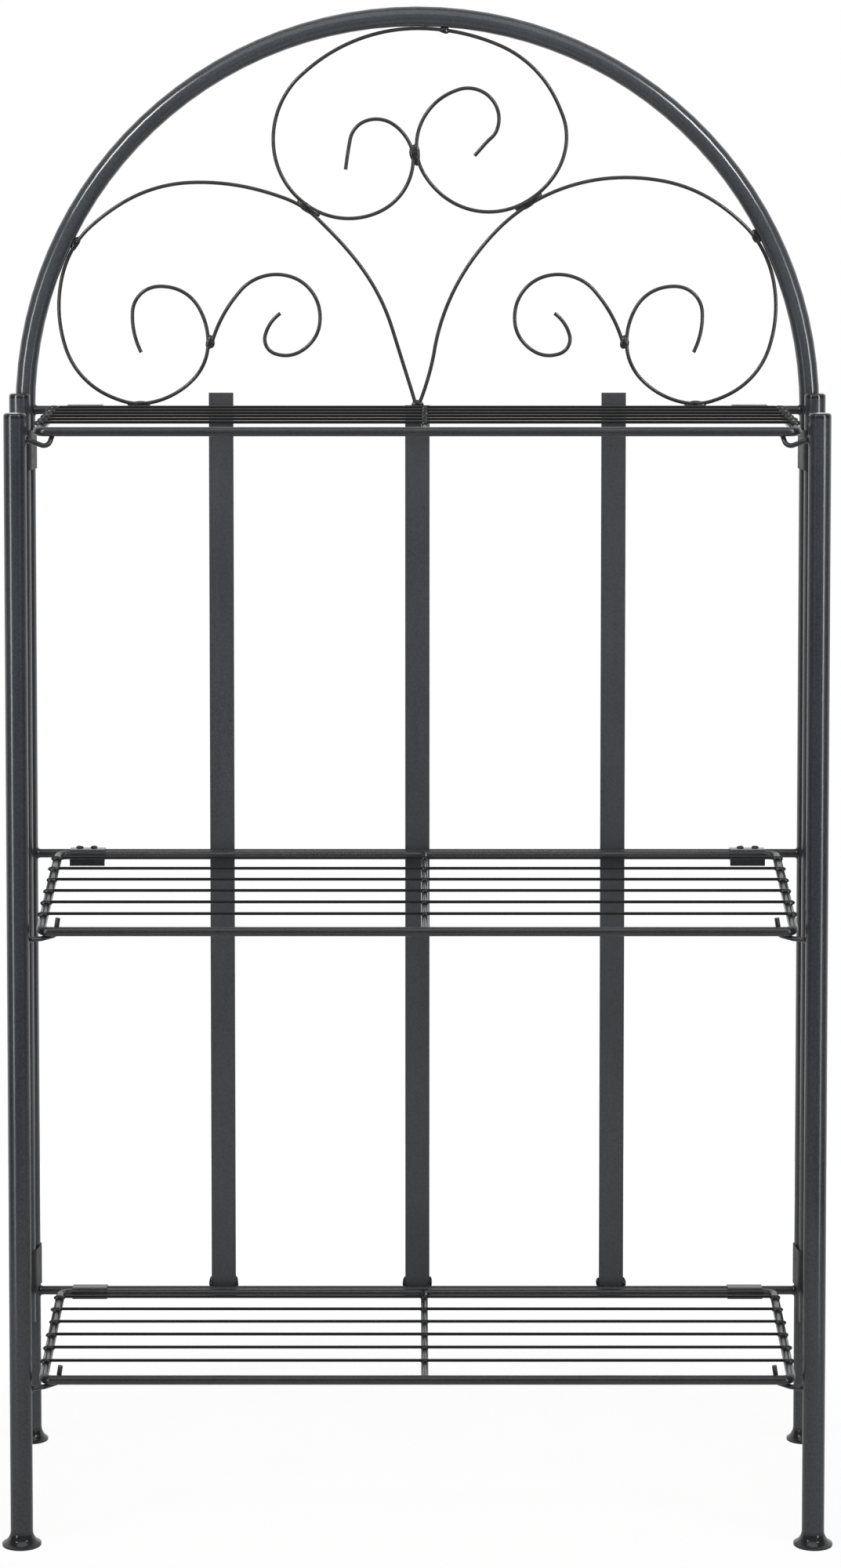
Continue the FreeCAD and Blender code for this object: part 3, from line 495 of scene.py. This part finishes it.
def shelfBeads(level):
    low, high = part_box(f"shelf_frame_{level}")
    rear = np.array([0, high.y - rodRadius, high.z - rodRadius])
    front = np.array([0, low.y + rodRadius, low.z + rodRadius])
    depth = np.linalg.norm(front - rear)
    forward = (front - rear) / depth
    upward = np.cross(forward, [1, 0, 0])
    upward = upward * np.sign(upward[2])
    wireLow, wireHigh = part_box("shelf_wires_top")
    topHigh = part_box("shelf_frame_top")[1]
    firstWire = topHigh.y - rodRadius - (wireHigh.y - wireRadius)
    lastWire = topHigh.y - rodRadius - (wireLow.y + wireRadius)
    run = np.linspace(firstWire, lastWire, shelfWelds["wireCount"])
    rearHalf = high.x - rodRadius
    frontHalf = wireHigh.x - shelfWelds["wireOverhang"]
    half = rearHalf + (frontHalf - rearHalf) * run / depth
    middle = middleOf(f"shelf_crossrod_{level}").x
    ends = np.array([shelfWelds["endInset"], depth - shelfWelds["endInset"]])
    across = np.concatenate([-half, half, 0 * half + middle, 0 * ends + middle])
    along = np.concatenate([run, run, run, ends])
    lift = np.concatenate([np.full(3 * len(run), rodRadius + shelfWelds["rise"]), 0 * ends])
    centres = rear + along[:, None] * forward + lift[:, None] * upward
    centres[:, 0] = across
    sizes = ([shelfWelds["onSides"]] * (2 * len(run)) + [shelfWelds["onMiddle"]] * len(run)
             + [shelfWelds["atEnds"]] * len(ends))
    count = len(centres)
    return lumps(f"shelf_wire_welds_{level}", centres, [(1, 0, 0)] * count, [forward] * count,
                 sizes, shelfWelds["seed"], *shelfWelds["grid"])


for level in levels:
    finishWeld(shelfBeads(level), f"shelf_{level}")
print("shelf welds made")


# Floor, room and lamps.  The room is white behind the rack and dim in front of it, as a studio with
# a white backdrop is.  Each tall strip lights the posts of its own side, and each shoulder lamp its
# own side of the round top.  A wide fill and a wide overhead lamp light the rest.
studio = {
    "floorRadius": 1.15, "floorTurns": 64, "floorRings": 12, "paper": "#d2d2d0",
    "fadeStart": 0.32, "fadeEnd": 1.05, "shadowShare": 0.2,  # the shadow fades between these radii
    "floorGlow": 1.13, "floorMirrored": 0.4,  # seen straight on, and the part that is mirrored
    "roomGlow": 0.22, "frontGlow": 0.10,      # where the room lights, and mirrored in front
    "dimUntil": 0.05, "whiteFrom": 0.5,       # backward part of a mirrored direction
    "stripPlace": (1.66, -1.44, 0.72), "stripAim": (0.43, 0.14, 0.82),
    "stripSize": (0.42, 2.2), "stripSpread": math.radians(36), "stripPower": 1.9,
    "shoulderPlace": (1.66, -1.44, 2.3), "shoulderAim": (0.27, 0.14, 1.12),
    "shoulderSize": (0.42, 1.0), "shoulderSpread": math.radians(40), "shoulderPower": 2.2,
    "fillPlace": (0, -3.0, 1.5), "fillAim": (0, 0, 0.7), "fillSize": (2.4, 1.8), "fillPower": 50,
    "topPlace": (0, -1.2, 2.9), "topAim": (0, 0, 0.8), "topSize": (2.8, 2.2), "topPower": 24}


# White where the camera or a see-through ray meets the room, white behind and dim in front where a
# reflection does, and a plain grey glow where it lights.
def whiteRoom():
    world = bpy.data.worlds.new("whiteRoom")
    world.use_nodes = True
    tree = world.node_tree
    tree.nodes.clear()
    ray = addNode(tree, "ShaderNodeLightPath", {}).outputs
    direction = addNode(tree, "ShaderNodeTexCoord", {}).outputs["Generated"]
    backward = addNode(tree, "ShaderNodeSeparateXYZ", {0: direction}).outputs["Y"]
    mirrored = addNode(tree, "ShaderNodeMapRange", {
        "Value": backward, 1: studio["dimUntil"], 2: studio["whiteFrom"], 3: studio["frontGlow"],
        4: 1.0}, interpolation_type="SMOOTHSTEP")
    lit = addNode(tree, "ShaderNodeMix", {0: ray["Is Glossy Ray"], 2: studio["roomGlow"],
                                          3: mirrored.outputs[0]}, data_type="FLOAT")
    straight = addNode(tree, "ShaderNodeMath", {
        0: ray["Is Camera Ray"], 1: ray["Is Transmission Ray"]}, operation="MAXIMUM")
    level = addNode(tree, "ShaderNodeMath", {0: lit.outputs[0], 1: straight.outputs[0]},
                    operation="MAXIMUM")
    glow = addNode(tree, "ShaderNodeBackground", {"Color": (1, 1, 1, 1),
                                                  "Strength": level.outputs[0]})
    addNode(tree, "ShaderNodeOutputWorld", {"Surface": glow.outputs[0]})
    bpy.context.scene.world = world


# Round floor: radius r and turn a give (r cos a, r sin a).  It keeps the shadow near the rack and
# fades to the white of the room further out.  Its glow is seen straight on in full and in a
# reflection in part, as the low posts mirror a floor that is darker than the backdrop.
def paleFloor():
    turns, rings = studio["floorTurns"], studio["floorRings"]
    radius = studio["floorRadius"] * (np.arange(1, rings + 1) / rings)[:, None]
    turn = (np.arange(turns) / turns * 2 * math.pi)[None, :]
    body = np.stack([radius * np.cos(turn), radius * np.sin(turn), 0 * radius * turn], -1)
    points = np.concatenate([body.reshape(-1, 3), [[0, 0, 0]]])
    quads = openRings(rings, turns)[:, ::-1]
    step = np.arange(turns)
    triangles = np.stack([np.full(turns, rings * turns), step, (step + 1) % turns], -1)
    mesh = bpy.data.meshes.new("floor")
    mesh.from_pydata(points.tolist(), [], quads.tolist() + triangles.tolist())
    floor = bpy.data.objects.new("floor", mesh)
    bpy.context.scene.collection.objects.link(floor)
    material, tree = newMaterial("whitePaperFloor")
    ray = addNode(tree, "ShaderNodeLightPath", {}).outputs
    mirrored = addNode(tree, "ShaderNodeMath", {
        0: ray["Is Glossy Ray"], 1: studio["floorMirrored"]}, operation="MULTIPLY")
    straight = addNode(tree, "ShaderNodeMath", {
        0: ray["Is Camera Ray"], 1: ray["Is Transmission Ray"]}, operation="MAXIMUM")
    seen = addNode(tree, "ShaderNodeMath", {0: straight.outputs[0], 1: mirrored.outputs[0]},
                   operation="MAXIMUM")
    place = addNode(tree, "ShaderNodeTexCoord", {}).outputs["Object"]
    outward = addNode(tree, "ShaderNodeVectorMath", {0: place}, operation="LENGTH").outputs["Value"]
    fade = addNode(tree, "ShaderNodeMapRange", {
        "Value": outward, 1: studio["fadeStart"], 2: studio["fadeEnd"],
        3: 1 - studio["shadowShare"], 4: 1.0}, interpolation_type="SMOOTHSTEP")
    share = addNode(tree, "ShaderNodeMath", {0: fade.outputs[0], 1: seen.outputs[0]},
                    operation="MULTIPLY")
    paper = addNode(tree, "ShaderNodeBsdfDiffuse", {"Color": linear(studio["paper"])})
    glow = addNode(tree, "ShaderNodeEmission", {"Color": (1, 1, 1, 1),
                                                "Strength": studio["floorGlow"]})
    both = addNode(tree, "ShaderNodeMixShader", {0: share.outputs[0], 1: paper.outputs[0],
                                                 2: glow.outputs[0]})
    addNode(tree, "ShaderNodeOutputMaterial", {"Surface": both.outputs[0]})
    floor.data.materials.append(material)


# Rectangle lamp at a place, aimed at a point.  A small spread keeps its light to a narrow cone, and
# mirrored says whether reflections show it.
def softLight(name, place, aim, size, power, spread=math.pi, mirrored=True):
    light = bpy.data.lights.new(name, "AREA")
    light.shape = "RECTANGLE"
    light.size, light.size_y = size
    light.energy = power
    light.spread = spread
    lamp = bpy.data.objects.new(name, light)
    bpy.context.scene.collection.objects.link(lamp)
    lamp.location = place
    lamp.rotation_euler = (Vector(aim) - Vector(place)).to_track_quat("-Z", "Y").to_euler()
    lamp.visible_glossy = mirrored


whiteRoom()
paleFloor()
for sideName, side in sides.items():
    mirror = np.array([side, 1, 1])
    for lamp in ("strip", "shoulder"):
        place, aim = mirror * studio[f"{lamp}Place"], mirror * studio[f"{lamp}Aim"]
        softLight(f"{lamp}_{sideName}", place, aim, studio[f"{lamp}Size"],
                  studio[f"{lamp}Power"], studio[f"{lamp}Spread"])
softLight("front_fill", studio["fillPlace"], studio["fillAim"], studio["fillSize"],
          studio["fillPower"], mirrored=False)
softLight("overhead", studio["topPlace"], studio["topAim"], studio["topSize"], studio["topPower"])

# Camera in front of the rack, at the height of the round top, looking slightly down with its lens
# shifted.
viewpoint = {
    "back": 3.2799, "height": 1.1341, "pitch": math.radians(3.685), "shiftAcross": 0.002,
    "shiftUp": -0.25, "focalPixels": 5088.0, "imageHeight": 2000, "sensor": 36}

camera = bpy.data.cameras.new("viewpoint")
camera.sensor_width = viewpoint["sensor"]
camera.lens = viewpoint["sensor"] * viewpoint["focalPixels"] / viewpoint["imageHeight"]
camera.shift_x, camera.shift_y = viewpoint["shiftAcross"], viewpoint["shiftUp"]
eye = bpy.data.objects.new("viewpoint", camera)
eye.location = (0, -viewpoint["back"], viewpoint["height"])
eye.rotation_euler = (math.pi / 2 - viewpoint["pitch"], 0, 0)
bpy.context.scene.collection.objects.link(eye)
bpy.context.scene.camera = eye
bpy.context.scene.view_settings.view_transform = "Standard"
print("studio and camera placed")
